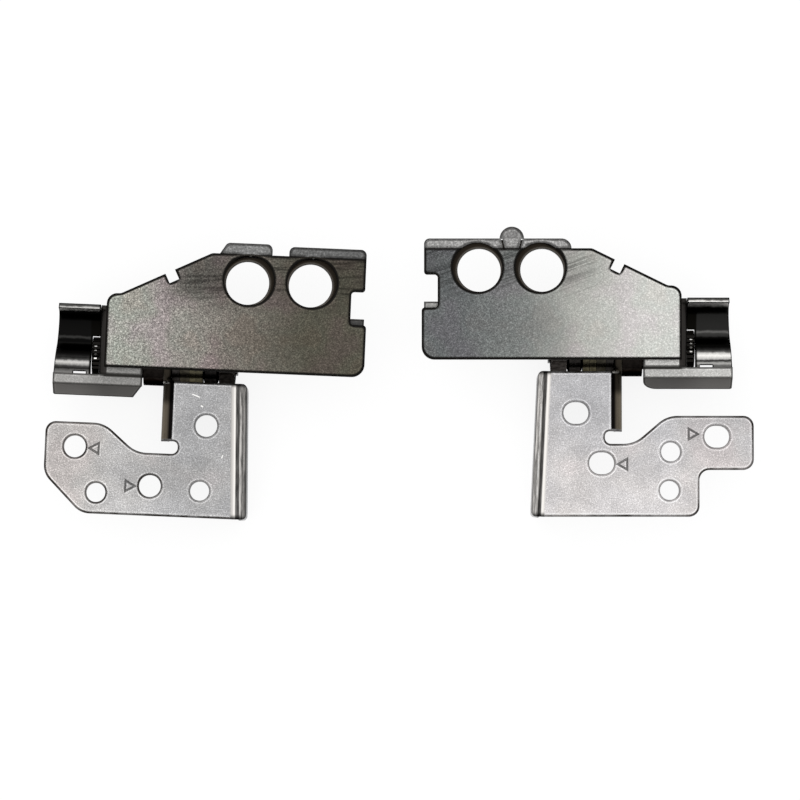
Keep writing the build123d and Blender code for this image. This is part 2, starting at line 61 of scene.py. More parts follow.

# Lid plates: places of the four tones of plating with painted shade along the plate, lighter outward and
# darker inward, and depth and places of the temper colours
PLATING_SHADE_STOPS = {"left": (0.05, 0.22, 0.42, 0.78), "right": (0.14, 0.4, 0.62, 0.86)}
TEMPER = {"left": 0.75, "right": 0.4}
TEMPER_STOPS = (0.36, 0.46, 0.54, 0.64)
TEMPER_HUES = [(1.07, 0.965, 1.03), (1.0, 1.0, 0.97), (0.96, 1.02, 0.97), (1.03, 1.0, 0.94)]

# Lid plates: where the inner end's grain takes over, the drag lines' turn in degrees, start, length and
# width, and the darker field's growth inward and up to the large holes and its fading on the left plate
INNER_GRAIN = (14.0, 24.0)
DRAG_LINES = {"left": (3.0, 5.0, 7.0, 0.42), "right": (-20.0, 8.0, 9.0, 0.26)}
FIELD_RISE = 6.0
FIELD_UP = (5.0, 9.5)
FIELD_FADE = (12.0, 21.0)

# Coined margins: change between the left plate's two tabs, lower limit of the right strip's round head
# over the plate's top, and the dimmer share of each
TAB_CHANGE = (20.0, 22.0)
ROUND_HEAD = (1.2, 1.4)
INNER_TAB_SHARE = 0.62
ROUND_HEAD_SHARE = 0.72

# Carriers: run of the ledge, where the notch and the face behind the plate begin, share of the ledge's tone
# at its inner end, above it and in the notch, and the tones of the painted shadow in the crease, the
# painted shade of the hidden face and the painted dark rims
LEDGE_RUN = (-3.5, 0.5)
NOTCH_RISE = (3.0, 4.0)
HIDDEN_UP = (5.75, 5.85)
HIDDEN_INWARD = (2.0, 3.0)
LEDGE_INNER = {"left": 0.8, "right": 0.95}
ABOVE_LEDGE = {"left": 0.95, "right": 1.15}
IN_NOTCH = {"left": 0.25, "right": 0.68}
CREASE_SHADOW = (0.045, 0.043, 0.04)
BEHIND_PLATE_SHADE = (0.02, 0.016, 0.012)
CARRIER_EDGE_SHADE = (0.03, 0.028, 0.026)
HOLE_EDGE_SHADE = (0.11, 0.1, 0.088)

# Brackets: run of the nickel from arm to leg and to the lower edge, its faint hues and their places in the
# noise, and the least share of the painted dark edges
ARM_TO_LEG = (-4.0, 12.0)
LEFT_LOWER = (-15.0, -19.0)
LOWER_TO_LEG = (-21.0, -6.0)
NICKEL_STOPS = (0.38, 0.5, 0.62)
NICKEL_HUES = [(1.025, 0.99, 0.99), (1.0, 1.0, 1.0), (0.985, 0.995, 1.012)]
EDGE_LEAST = {"left": 0.7, "right": 0.6}

# Brown film on each bracket's ear, with painted light: its span, where its painted lit edge starts and the
# painted shade turns it black towards the leg, the painted shade's dark stretch near the pin, its lower
# end, its tones, and the painted glint
EAR_STRIP = (6.0, 8.72)
FILM_START = 7.3
FILM_SHADE = (-5.0, -6.2)
FILM_END = -10.2
FILM_LIT_EDGE = (0.24, 0.215, 0.18)
FILM_BROWN = (0.165, 0.14, 0.105)
FILM_SHADED_BLACK = (0.006, 0.005, 0.005)
EAR_GLINTS = {"left": (7.6, -3.1), "right": (8.1, -3.0)}
GLINT = (0.8, 0.78, 0.74)

# Pins and stacks: tones of pin and head, the painted highlight on the tooth tips and the painted dark
# edges, start of the head, the lit teeth's span across and up, and the share of the blackened steel's tone
# for springs and nuts
PIN_BLACK = (0.011, 0.009, 0.008)
HEAD_BLACK = (0.012, 0.011, 0.01)
TOOTH_HIGHLIGHT = (0.75, 0.74, 0.7)
STACK_EDGE_SHADE = (0.008, 0.007, 0.006)
HEAD_START = (-0.6, -0.7)
LIT_TEETH = ((-1.5, -1.2), (-0.7, 1.5))
SPRING_SHARE = 0.7
NUT_SHARE = 1.6

# Fold of each bracket's inner flange: its start at the top of the leg, its lean in degrees, its lower end,
# and its limit towards the flange's lower side
FOLD_START = {"left": 16.37, "right": 16.57}
FOLD_LEAN = {"left": 2.0, "right": 2.8}
FOLD_END = {"left": -19.85, "right": -21.1}
FOLD_UNDER = (1.3, 1.6)

# Painted reflection across that fold: distance past its start, and brightness
FOLD_REFLECTIONS = {
    "left": [
        (-0.5, 0.45), (-0.36, 0.58), (-0.18, 0.72), (-0.06, 1.0), (0.04, 0.8), (0.13, 0.1), (0.3, 0.13),
        (0.42, 0.06), (0.5, 0.14), (0.62, 0.6), (0.75, 0.5), (0.9, 0.28), (1.05, 0.34), (1.2, 0.26),
        (1.3, 0.1), (1.42, 0.05),
    ],
    "right": [
        (-0.36, 0.6), (-0.15, 0.95), (0.0, 0.85), (0.12, 0.1), (0.42, 0.07), (0.52, 0.3), (0.64, 0.85),
        (0.78, 0.75), (0.88, 0.42), (1.0, 0.62), (1.1, 0.5), (1.18, 0.12), (1.25, 0.07),
    ],
}
FOLD_REACH = (-0.8, 1.6)
FOLD_HUE = (1.0, 0.965, 0.925)

# Painted light across the cable guides: height over the pin's axis and share of the band tone, from the
# strip below the crease over the painted highlight on the rolled band and the black trough with its painted
# gleam to the painted highlight on the lip
GUIDE_PAINTED_LIGHT = {
    "left": [
        (-2.4, 0.22), (-1.95, 0.09), (-1.8, 0.012), (-1.5, 0.06), (-1.22, 0.45), (-1.05, 0.65),
        (-0.92, 0.5), (-0.7, 0.08), (-0.45, 0.015), (-0.1, 0.004), (1.95, 0.004), (2.2, 0.04),
        (2.45, 0.006), (5.3, 0.008), (5.4, 0.6), (5.5, 0.95), (5.62, 0.6), (5.72, 0.55), (5.85, 0.08),
    ],
    "right": [
        (-2.5, 0.2), (-2.25, 0.09), (-1.9, 0.42), (-1.65, 0.03), (-1.53, 0.03), (-1.35, 0.5), (-0.97, 0.95),
        (-0.65, 0.6), (-0.45, 0.1), (-0.2, 0.02), (0.1, 0.004), (1.4, 0.004), (1.6, 0.03), (1.9, 0.04),
        (2.12, 0.12), (2.35, 0.025), (2.5, 0.02), (5.05, 0.026), (5.2, 0.3), (5.4, 0.95), (5.62, 0.95),
        (5.72, 0.8), (5.85, 0.08),
    ],
}
GUIDE_REACH = (-3.0, 7.0)
GUIDE_RAGGED = 0.36  # how far the borders of the painted highlight bands wander
GUIDE_BANDS_END = -2.05  # inward of this only the lip keeps its painted highlight
GUIDE_LIP = 5.0

# Bracket holes where the painted dark edge is weaker: their middles, the reach of that change and the share
# of painted dark edge left
SOFT_RIMS = {
    "left": [(12.95, -8.32), (12.46, -16.5)],
    "right": [(13.1, -8.13), (9.9, -14.42), (1.44, -17.82), (1.28, -13.0), (-4.5, -11.1)],
}
SOFT_RIM_REACH = 2.3
SOFT_RIM = 0.5

# Stamped arrows of the brackets: tip, and the way from the tip to the back
ARROWS = {
    "left": [((-1.75, -11.7), 1.0), ((4.57, -16.22), -1.0)],
    "right": [((-2.35, -10.78), 1.0), ((8.1, -14.55), -1.0)],
}
ARROW_LENGTH = 1.5
ARROW_WIDTH = 1.75
ARROW_LINE = 0.23

# Handling nicks of the left leg, painted bright as their glint: middle, length, width and turn in degrees
NICKS = [
    ((11.5, -4.6), 1.2, 0.16, -21.0),
    ((12.3, -5.9), 0.4, 0.2, -30.0),
    ((15.1, -12.1), 0.5, 0.16, 70.0),
]
NICK_GLINT = (0.95, 0.94, 0.92)

# Studio, in metres: half the floor's width, the lamp, the camera's aim and sensor (mm), and the sky's
# brightness from the horizon up
FLOOR_HALF = 3.0
KEY_SIZE = (0.5, 0.2)
KEY_PLACE = (-0.25, 0.45, 0.5)
AIM = (0.00014, -0.00331, 0.0067)
SENSOR = 36.0
SKY = [(0.0, 0.62), (0.4, 0.67), (0.75, 0.85), (0.92, 1.0)]
SKY_STRENGTH = 1.1


def hinge_frames():
    """Place, turn and mirroring of each hinge's own frame, read from the lid joints."""
    frames = {}
    for joint in frame["joints"]:
        side = joint["name"].split("_")[0]
        mirrored = side == "right"
        axis = Vector(joint["axis"])
        turn = 0.0 if mirrored else math.atan2(-axis.y, -axis.x)
        frames[side] = (Vector(joint["pos_m"]), turn, -1.0 if mirrored else 1.0)
    return frames


HINGES = hinge_frames()


class Finish:
    """A metal finish: one Principled surface with colour and relief from the piece's own place."""

    def __init__(self, name, side=None, grazing=0.6):
        self.material = bpy.data.materials.new(name)
        self.material.use_nodes = True
        self.tree = self.material.node_tree
        self.tree.nodes.clear()
        self.surface = self.add("ShaderNodeBsdfPrincipled")
        self.surface.inputs["Metallic"].default_value = 1.0
        self.surface.inputs["Specular Tint"].default_value = (grazing, grazing, grazing, 1.0)
        output = self.add("ShaderNodeOutputMaterial")
        self.tree.links.new(self.surface.outputs["BSDF"], output.inputs["Surface"])
        self.source = self.add("ShaderNodeTexCoord")
        self.place = self.in_millimetres(side)
        split = self.add("ShaderNodeSeparateXYZ")
        self.put(split.inputs[0], self.place)
        self.u, self.v, self.z = split.outputs
        self.rounded = None

    def add(self, kind, **settings):
        node = self.tree.nodes.new(kind)
        for key, value in settings.items():
            setattr(node, key, value)
        return node

    def put(self, socket, value):
        """Links a socket or sets a constant."""
        if isinstance(value, bpy.types.NodeSocket):
            self.tree.links.new(value, socket)
        elif socket.type == "RGBA" and len(value) == 3:
            socket.default_value = (*value, 1.0)
        else:
            socket.default_value = value

    def in_millimetres(self, side):
        """Object coordinates carried into a hinge's own frame, in millimetres."""
        node = self.add("ShaderNodeMapping", vector_type="TEXTURE")
        spot, turn, hand = HINGES[side] if side else (Vector((0, 0, 0)), 0.0, 1.0)
        self.put(node.inputs["Vector"], self.source.outputs["Object"])
        node.inputs["Location"].default_value = spot
        node.inputs["Rotation"].default_value = (0.0, 0.0, turn)
        node.inputs["Scale"].default_value = (hand * MM, MM, MM)
        return node.outputs["Vector"]

    def math(self, operation, first, second=0.0, third=0.0):
        node = self.add("ShaderNodeMath", operation=operation)
        for socket, value in zip(node.inputs, (first, second, third)):
            self.put(socket, value)
        return node.outputs[0]

    def both(self, *shares):
        """Product of several shares."""
        result = shares[0]
        for share in shares[1:]:
            result = self.math("MULTIPLY", result, share)
        return result

    def ease(self, value, low, high, start=0.0, end=1.0):
        """Smooth change from start to end while value runs from low to high, which may fall."""
        if low > high:
            low, high, start, end = high, low, end, start
        node = self.add("ShaderNodeMapRange", interpolation_type="SMOOTHSTEP")
        for name, amount in (
            ("Value", value), ("From Min", low), ("From Max", high), ("To Min", start), ("To Max", end)
        ):
            self.put(node.inputs[name], amount)
        return node.outputs["Result"]

    def within(self, value, low, high, soft=0.04):
        """Share that is one between two limits."""
        past_low = self.ease(value, low - soft, low + soft)
        return self.both(past_low, self.ease(value, high + soft, high - soft))

    def drawn_out(self, turn, length, width):
        """Place for streaks of a given length and width that run at an angle in degrees."""
        node = self.add("ShaderNodeMapping", vector_type="TEXTURE")
        self.put(node.inputs["Vector"], self.place)
        node.inputs["Rotation"].default_value = (0.0, 0.0, math.radians(turn))
        node.inputs["Scale"].default_value = (length, width, width)
        return node.outputs["Vector"]

    def noise(self, scale, detail=2.0, rough=0.5, place=None):
        node = self.add("ShaderNodeTexNoise")
        self.put(node.inputs["Vector"], place or self.place)
        self.put(node.inputs["Scale"], scale)
        self.put(node.inputs["Detail"], detail)
        self.put(node.inputs["Roughness"], rough)
        return node.outputs["Fac"]

    def blend(self, share, first, second, mode="MIX"):
        node = self.add("ShaderNodeMix", data_type="RGBA", blend_type=mode, clamp_factor=True)
        self.put(node.inputs["Factor"], share)
        self.put(node.inputs[MIX_FIRST], first)
        self.put(node.inputs[MIX_SECOND], second)
        return node.outputs[MIX_OUT]

    def ramp(self, share, *stops):
        """Colour ramp through (position, colour) stops."""
        node = self.add("ShaderNodeValToRGB")
        bar = node.color_ramp
        while len(bar.elements) < len(stops):
            bar.elements.new(0.5)
        for element, (spot, colour) in zip(bar.elements, stops):
            element.position = spot
            element.color = (*colour, 1.0)
        self.put(node.inputs["Fac"], share)
        return node.outputs["Color"]

    def graded(self, value, reach, stops, hue):
        """Ramp of one hue through (place, brightness) stops within a reach."""
        first, last = reach
        run = last - first
        tones = [((spot - first) / run, tuple(level * channel for channel in hue)) for spot, level in stops]
        return self.ramp(self.math("MULTIPLY_ADD", value, 1.0 / run, -first / run), *tones)

    def scaled(self, colour, amount):
        """Colour times a single number."""
        node = self.add("ShaderNodeVectorMath", operation="SCALE")
        self.put(node.inputs[0], colour)
        self.put(node.inputs["Scale"], amount)
        return node.outputs[0]

    def distance(self, spot):
        """Distance from a spot of the hinge's own frame."""
        node = self.add("ShaderNodeVectorMath", operation="DISTANCE")
        self.put(node.inputs[0], self.place)
        self.put(node.inputs[1], spot)
        return node.outputs["Value"]

    def flatness(self):
        """One where the surface faces up or down in the sheet's own frame, zero on its cut sides."""
        split = self.add("ShaderNodeSeparateXYZ")
        self.put(split.inputs[0], self.source.outputs["Normal"])
        return self.math("ABSOLUTE", split.outputs[2])

    def painted_edge_light(self, shade, radius, lift, dark, depth=1.0):
        """Painted dark reflection on a rolled edge with a thin painted highlight line, where the rounded
        normal leaves the flat one.
        """
        bevel = self.add("ShaderNodeBevel", samples=BEVEL_SAMPLES)
        bevel.inputs["Radius"].default_value = radius * MM
        flat = self.add("ShaderNodeNewGeometry").outputs["Normal"]
        dot = self.add("ShaderNodeVectorMath", operation="DOT_PRODUCT")
        self.put(dot.inputs[0], bevel.outputs["Normal"])
        self.put(dot.inputs[1], flat)
        turn = self.math("SUBTRACT", 1.0, dot.outputs["Value"])
        line = self.both(self.ease(turn, *LINE_RISE), self.ease(turn, *LINE_FALL))
        shade = self.scaled(shade, self.math("MULTIPLY_ADD", line, lift, 1.0))
        self.rounded = bevel.outputs["Normal"]
        return self.blend(self.both(self.ease(turn, *EDGE_RISE), depth), shade, dark)

    def speckled(self, shade, depth, scale=6.5):
        """Fine blasted grain in colour, returned with the grain itself."""
        fine = self.noise(scale, 3.0, 0.65)
        dips = self.ease(fine, *GRAIN_DIPS, 1.0 - DIP_DEPTH * depth, 1.0)
        peaks = self.ease(fine, *GRAIN_PEAKS, 1.0, 1.0 + PEAK_HEIGHT * depth)
        return self.scaled(shade, self.both(dips, peaks)), fine

    def triangle(self, tip, way):
        """Line just inside a triangle's outline: the largest distance past its back and its flanks."""
        along = self.math("MULTIPLY", self.math("SUBTRACT", self.u, tip[0]), way)
        across = self.math("ABSOLUTE", self.math("SUBTRACT", self.v, tip[1]))
        flank = math.hypot(ARROW_LENGTH, ARROW_WIDTH / 2)
        slope = self.math("MULTIPLY", along, -ARROW_WIDTH / 2 / flank)
        past_flank = self.math("MULTIPLY_ADD", across, ARROW_LENGTH / flank, slope)
        past_back = self.math("SUBTRACT", along, ARROW_LENGTH)
        inside = self.math("MAXIMUM", past_back, past_flank)
        off_line = self.math("ABSOLUTE", self.math("ADD", inside, ARROW_LINE / 2))
        return self.ease(off_line, ARROW_LINE * 0.65, ARROW_LINE * 0.3)

    def nick(self, middle, length, width, turn):
        """Short bright stroke."""
        cos, sin = math.cos(math.radians(turn)), math.sin(math.radians(turn))
        du = self.math("SUBTRACT", self.u, middle[0])
        dv = self.math("SUBTRACT", self.v, middle[1])
        along = self.math("ABSOLUTE", self.math("MULTIPLY_ADD", du, cos, self.math("MULTIPLY", dv, sin)))
        across = self.math("ABSOLUTE", self.math("MULTIPLY_ADD", dv, cos, self.math("MULTIPLY", du, -sin)))
        inside_length = self.ease(along, length * 0.55, length * 0.3)
        return self.both(inside_length, self.ease(across, width * 0.6, width * 0.25))

    def colour(self, value):
        self.put(self.surface.inputs["Base Color"], value)

    def rough(self, value):
        self.put(self.surface.inputs["Roughness"], value)

    def relief(self, height, depth, strength=1.0):
        """Relief of a given depth in millimetres, over the rounded edges."""
        node = self.add("ShaderNodeBump")
        self.put(node.inputs["Height"], height)
        node.inputs["Strength"].default_value = strength
        node.inputs["Distance"].default_value = depth * MM
        if self.rounded:
            self.put(node.inputs["Normal"], self.rounded)
        self.put(self.surface.inputs["Normal"], node.outputs["Normal"])


def dress(node_name, finish):
    """Gives one solid its finish."""
    piece = frame["nodes"][node_name]
    for slot in piece.material_slots:
        slot.material = finish.material
    if not piece.material_slots:
        piece.data.materials.append(finish.material)


def tint(name, words, default):
    """A colour property in linear light."""
    return bpy.props.FloatVectorProperty(
        name=name, description=words, default=default, size=3, min=0.0, max=1.0, subtype="COLOR"
    )


def share(name, words, default):
    """A property from zero to one."""
    return bpy.props.FloatProperty(
        name=name, description=words, default=default, min=0.0, max=1.0, subtype="FACTOR"
    )


class LidLooks(bpy.types.PropertyGroup):
    """Finish of the lid plates."""

    # The outer, shoulder, middle and inner tones of each plate hold painted shade: lighter at the outer
    # end, darker towards the inner end
    left_outer: tint("Left outer end", "Plating at the left plate's outer end", (0.325, 0.325, 0.3))
    left_near: tint("Left shoulder", "Plating below the left plate's shoulder", (0.282, 0.268, 0.25))
    left_far: tint("Left middle", "Plating in the left plate's middle", (0.2, 0.178, 0.163))
    left_inner: tint("Left inner end", "Plating at the left plate's inner end", (0.085, 0.078, 0.062))
    left_margin: tint("Left tabs", "Coined tabs of the left plate", (0.2, 0.2, 0.197))
    right_outer: tint("Right outer end", "Plating at the right plate's outer end", (0.585, 0.583, 0.562))
    right_near: tint("Right shoulder", "Plating below the right plate's shoulder", (0.4, 0.396, 0.374))
    right_far: tint("Right middle", "Plating in the right plate's middle", (0.2, 0.206, 0.202))
    right_inner: tint("Right inner end", "Plating at the right plate's inner end", (0.125, 0.13, 0.133))
    right_margin: tint("Right strip", "Coined strip of the right plate", (0.3, 0.296, 0.29))
    # Painted dark reflection on the plates' rolled edges and painted shade on their cut sides
    edge: tint("Edges", "Dark sheared edges", (0.012, 0.011, 0.01))
    left_speckle: share("Left speckle", "Depth of the left plate's blasted grain", 0.85)
    right_speckle: share("Right speckle", "Depth of the right plate's blasted grain", 0.34)
    inner_speckle: share("Inner speckle", "Depth of the grain at the plates' inner ends", 0.65)
    drag: share("Drag lines", "Depth of the drag lines beside the large holes", 0.45)
    gloss: share("Roughness", "Roughness of the plating", 0.4)


class BaseLooks(bpy.types.PropertyGroup):
    """Finish of the base brackets."""

    left_arm: tint("Left arm", "Nickel of the left bracket's arm", (0.465, 0.45, 0.437))
    left_leg: tint("Left leg", "Nickel of the left bracket's leg", (0.365, 0.36, 0.358))
    right_low: tint("Right lower edge", "Nickel of the right bracket's lower edge", (0.63, 0.602, 0.592))
    right_leg: tint("Right leg", "Nickel of the right bracket's leg", (0.445, 0.437, 0.44))
    # Painted dark reflection on the brackets' rolled edges
    edge: tint("Edges", "Dark rolled edges", (0.035, 0.03, 0.027))
    # The ear's brown film tone, between its painted lit edge and the painted shade
    ear: tint("Ear", "Brown film on the ear and its fold", (0.15, 0.126, 0.096))
    left_speckle: share("Left speckle", "Depth of the left bracket's grain", 0.48)
    right_speckle: share("Right speckle", "Depth of the right bracket's grain", 0.38)
    # Painted shade in the stamped arrows' lines
    mark: share("Arrow marks", "Darkening of the stamped arrows", 0.72)
    gloss: share("Roughness", "Roughness of the nickel", 0.36)


class SmallLooks(bpy.types.PropertyGroup):
    """Finishes of carrier, cable guide, pin and stack."""

    left_ledge: tint("Left ledge", "Ledge of the left carrier", (0.31, 0.305, 0.295))
    right_ledge: tint("Right ledge", "Ledge of the right carrier", (0.47, 0.465, 0.45))
    # Painted shade: the carriers' sloped front wall is given a dark tone
    wall: tint("Front wall", "Sloped front wall of the carriers", (0.135, 0.13, 0.124))
    guide: tint("Guide", "Glossy black plating of the cable guides", (0.004, 0.0037, 0.003))
    # Painted highlights and gleam on the guides' lip, lower band and trough
    band: tint("Guide band", "Worn bands and lip of the cable guides", (0.95, 0.935, 0.9))
    # This blackened steel tone is also painted as shade on the carriers' ear strip
    black: tint("Blackened steel", "Pin, washers, springs and nut", (0.035, 0.032, 0.03))
    # Painted shade: the left springs and nut are a darker copy of the right ones
    left_lit: share("Left stack", "Brightness of the left springs and nut beside the right ones", 0.45)
    brass: tint("Brass", "Oiled brass washers", (0.078, 0.07, 0.046))


class StudioLooks(bpy.types.PropertyGroup):
    """Camera and light."""

    view_width: bpy.props.FloatProperty(
        name="View width", description="Width of the picture at the brackets", default=0.1, unit="LENGTH"
    )
    distance: bpy.props.FloatProperty(
        name="Distance", description="From the camera to the brackets", default=0.6, unit="LENGTH"
    )
    height: bpy.props.FloatProperty(
        name="Elevation",
        description="Camera angle above the table",
        default=math.radians(87.0),
        subtype="ANGLE",
    )
    floor: tint("Floor", "Colour of the floor in the light", (0.18, 0.18, 0.18))
    backdrop: share("Backdrop", "Brightness of the white floor where it is seen or mirrored", 0.86)
    key: bpy.props.FloatProperty(
        name="Key light", description="Power of the soft key light", default=0.5, unit="POWER"
    )


class HINGES_OT_lid_plates(bpy.types.Operator):
    """Blasted black-nickel finish of both lid plates, with painted shade along them and painted dark edges
    """

    bl_idname = "hinges.lid_plates"
    bl_label = "Lid Plates"

    def execute(self, context):
        looks = context.scene.hinge_lid
        for side in SIDES:
            finish = Finish(f"{side} lid plating", side)
            shade = self.plating(finish, looks, side)
            shade = self.dragged(finish, shade, looks, side)
            inner, _ = finish.speckled(shade, looks.inner_speckle)
            shade, fine = finish.speckled(shade, getattr(looks, f"{side}_speckle"))
            shade = finish.blend(finish.ease(finish.u, *INNER_GRAIN), shade, inner)
            margin, _ = finish.speckled(tuple(getattr(looks, f"{side}_margin")), depth=0.6, scale=5.0)
            top = PLATE_TOP[side]
            if side == "left":
                dim = finish.ease(finish.u, *TAB_CHANGE, 1.0, INNER_TAB_SHARE)
            else:
                dim = finish.ease(finish.v, top + ROUND_HEAD[0], top + ROUND_HEAD[1], 1.0, ROUND_HEAD_SHARE)
            margin = finish.scaled(margin, dim)
            on_margin = finish.ease(finish.v, top - 0.02, top + 0.02)
            shade = finish.blend(on_margin, shade, margin)
            depth = finish.ease(finish.v, top, top + 0.1, 1.0, 0.6)
            # Painted dark reflection on the rolled edges with a painted highlight line beside them, weaker
            # on the coined margin
            shade = finish.painted_edge_light(shade, radius=0.8, lift=0.25, dark=tuple(looks.edge), depth=depth)
            # Painted shade: the plate's cut sides take the dark edge tone
            shaded_sides = finish.ease(finish.flatness(), 0.8, 0.5)
            finish.colour(finish.blend(shaded_sides, shade, tuple(looks.edge)))
            finish.rough(looks.gloss)
            finish.relief(fine, depth=0.015)
            dress(f"{side}_lid_plate", finish)
        return {"FINISHED"}

    def plating(self, finish, looks, side):
        """Plating with painted shade that darkens it from the outer to the inner end, and faint temper
        colours.
        """
        cloud = finish.noise(scale=0.11, detail=3.0)
        wander = finish.math("MULTIPLY_ADD", cloud, 0.24, -0.12)
        run = finish.math("MULTIPLY_ADD", finish.u, 1 / PLATE_LENGTH, wander)
        # Painted shade: these four tones darken the plating from the outer to the inner end
        tones = [tuple(getattr(looks, f"{side}_{name}")) for name in ("outer", "near", "far", "inner")]
        shade = finish.ramp(run, *zip(PLATING_SHADE_STOPS[side], tones))
        hues = [tuple(1 + TEMPER[side] * (channel - 1) for channel in hue) for hue in TEMPER_HUES]
        hue = finish.ramp(finish.noise(scale=0.2), *zip(TEMPER_STOPS, hues))
        return finish.blend(1.0, shade, hue, "MULTIPLY")

    def dragged(self, finish, shade, looks, side):
        """Darker field with drag lines beside the row of large holes."""
        turn, start, length, width = DRAG_LINES[side]
        inward = finish.ease(finish.u, start, start + FIELD_RISE)
        field = finish.both(inward, finish.ease(finish.v, *FIELD_UP))
        place = finish.drawn_out(turn, length, width)
        streak = finish.noise(scale=1.0, detail=3.0, rough=0.6, place=place)
        lines = finish.both(finish.ease(streak, 0.48, 0.62), field, looks.drag)
        depth = finish.ease(finish.u, *FIELD_FADE, 0.57, 0.2) if side == "left" else 0.16
        tone = finish.math("SUBTRACT", 1.0, finish.math("MULTIPLY", field, depth))
        return finish.scaled(shade, finish.both(tone, finish.math("SUBTRACT", 1.0, lines)))


class HINGES_OT_carriers(bpy.types.Operator):
    """Satin nickel finish of both lid carriers, with painted shade behind the plates, on the ear strip and
    on the sloped wall, a painted shadow in the crease and painted dark edges
    """

    bl_idname = "hinges.carriers"
    bl_label = "Lid Carriers"

    def execute(self, context):
        looks = context.scene.hinge_small
        for side in SIDES:
            finish = Finish(f"{side} carrier nickel", side)
            ledge = tuple(getattr(looks, f"{side}_ledge"))
            shade, fine = finish.speckled(ledge, depth=0.35)
            above = ABOVE_LEDGE[side]
            shade = finish.scaled(shade, finish.ease(finish.u, *LEDGE_RUN, 1.1, LEDGE_INNER[side]))
            step = finish.ease(finish.v, LEDGE_TOP - 0.03, LEDGE_TOP + 0.03, 1.0, above)
            shade = finish.scaled(shade, step)
            shade = finish.scaled(shade, finish.ease(finish.v, *NOTCH_RISE, 1.0, IN_NOTCH[side] / above))
            # Painted shadow in the crease along the ledge's top, below the step up to the plate
            crease = finish.within(finish.v, LEDGE_TOP - 0.27, LEDGE_TOP, soft=0.08)
            crease = finish.both(crease, finish.ease(finish.u, -0.4, 0.1))
            shade = finish.blend(crease, shade, CREASE_SHADOW)
            # Painted shade on the sloped front wall, darker towards its inner end
            wall = finish.scaled(tuple(looks.wall), finish.ease(finish.u, *LEDGE_RUN, 1.0, 0.74))
            shade = finish.blend(finish.ease(finish.v, LEDGE_FRONT + 0.03, LEDGE_FRONT - 0.05), shade, wall)
            # Painted shade on the carrier's face hidden behind the plate, seen through the plate's holes
            front = finish.ease(finish.z, CARRIER_FRONT - 0.1, CARRIER_FRONT - 0.04)
            up = finish.ease(finish.v, *HIDDEN_UP)
            behind = finish.both(up, finish.ease(finish.u, *HIDDEN_INWARD), front)
            shade = finish.blend(behind, shade, BEHIND_PLATE_SHADE)
            # Painted shade: the ear strip in the gap beside the plate takes the blackened steel's tone
            over_ledge = finish.ease(finish.v, LEDGE_TOP - 0.05, LEDGE_TOP + 0.05)
            ear_shade = finish.both(finish.ease(finish.u, 0.4, 0.2), over_ledge)
            shade = finish.blend(ear_shade, shade, tuple(looks.black))
            # Painted dark reflection on the carrier's rolled edges, lighter around the holes behind the
            # plate, with a painted highlight line
            rim = finish.blend(behind, CARRIER_EDGE_SHADE, HOLE_EDGE_SHADE)
            finish.colour(finish.painted_edge_light(shade, radius=0.55, lift=0.3, dark=rim, depth=0.75))
            finish.rough(0.38)
            finish.relief(fine, depth=0.01)
            dress(f"{side}_lid_carrier", finish)
        return {"FINISHED"}


class HINGES_OT_cable_guides(bpy.types.Operator):
    """Glossy black finish of both cable guides, with painted highlights on the lip and the lower band, a
    painted gleam in the trough and painted shade beside the pin head
    """

    bl_idname = "hinges.cable_guides"
    bl_label = "Cable Guides"

    def execute(self, context):
        looks = context.scene.hinge_small
        for side in SIDES:
            finish = Finish(f"{side} guide gloss", side, grazing=0.0)
            ragged = finish.noise(scale=1.6, detail=3.0, rough=0.65)
            ragged = finish.math("MULTIPLY_ADD", ragged, GUIDE_RAGGED, -GUIDE_RAGGED / 2)
            # Painted light across the guide: highlights on the lip and the rolled lower band and a faint
            # gleam in the black trough
            height = finish.math("ADD", finish.v, ragged)
            shade = finish.graded(height, GUIDE_REACH, GUIDE_PAINTED_LIGHT[side], tuple(looks.band))
            deep = tuple(looks.guide)
            # Painted dark reflection on the guide's rolled edges
            shade = finish.painted_edge_light(shade, radius=0.3, lift=0.2, dark=deep)
            # Painted shade: deep black beside the pin head, inward of the bands and below the lip
            inner = finish.ease(finish.u, GUIDE_BANDS_END - 0.1, GUIDE_BANDS_END + 0.1)
            shade_beside_head = finish.both(inner, finish.ease(finish.v, GUIDE_LIP + 0.1, GUIDE_LIP - 0.1))
            finish.colour(finish.blend(shade_beside_head, shade, deep))
            finish.rough(finish.ease(finish.v, GUIDE_LIP - 0.1, GUIDE_LIP + 0.2, 0.16, 0.45))
            finish.relief(finish.noise(scale=0.8), depth=0.01)
            dress(f"{side}_cable_guide", finish)
        return {"FINISHED"}


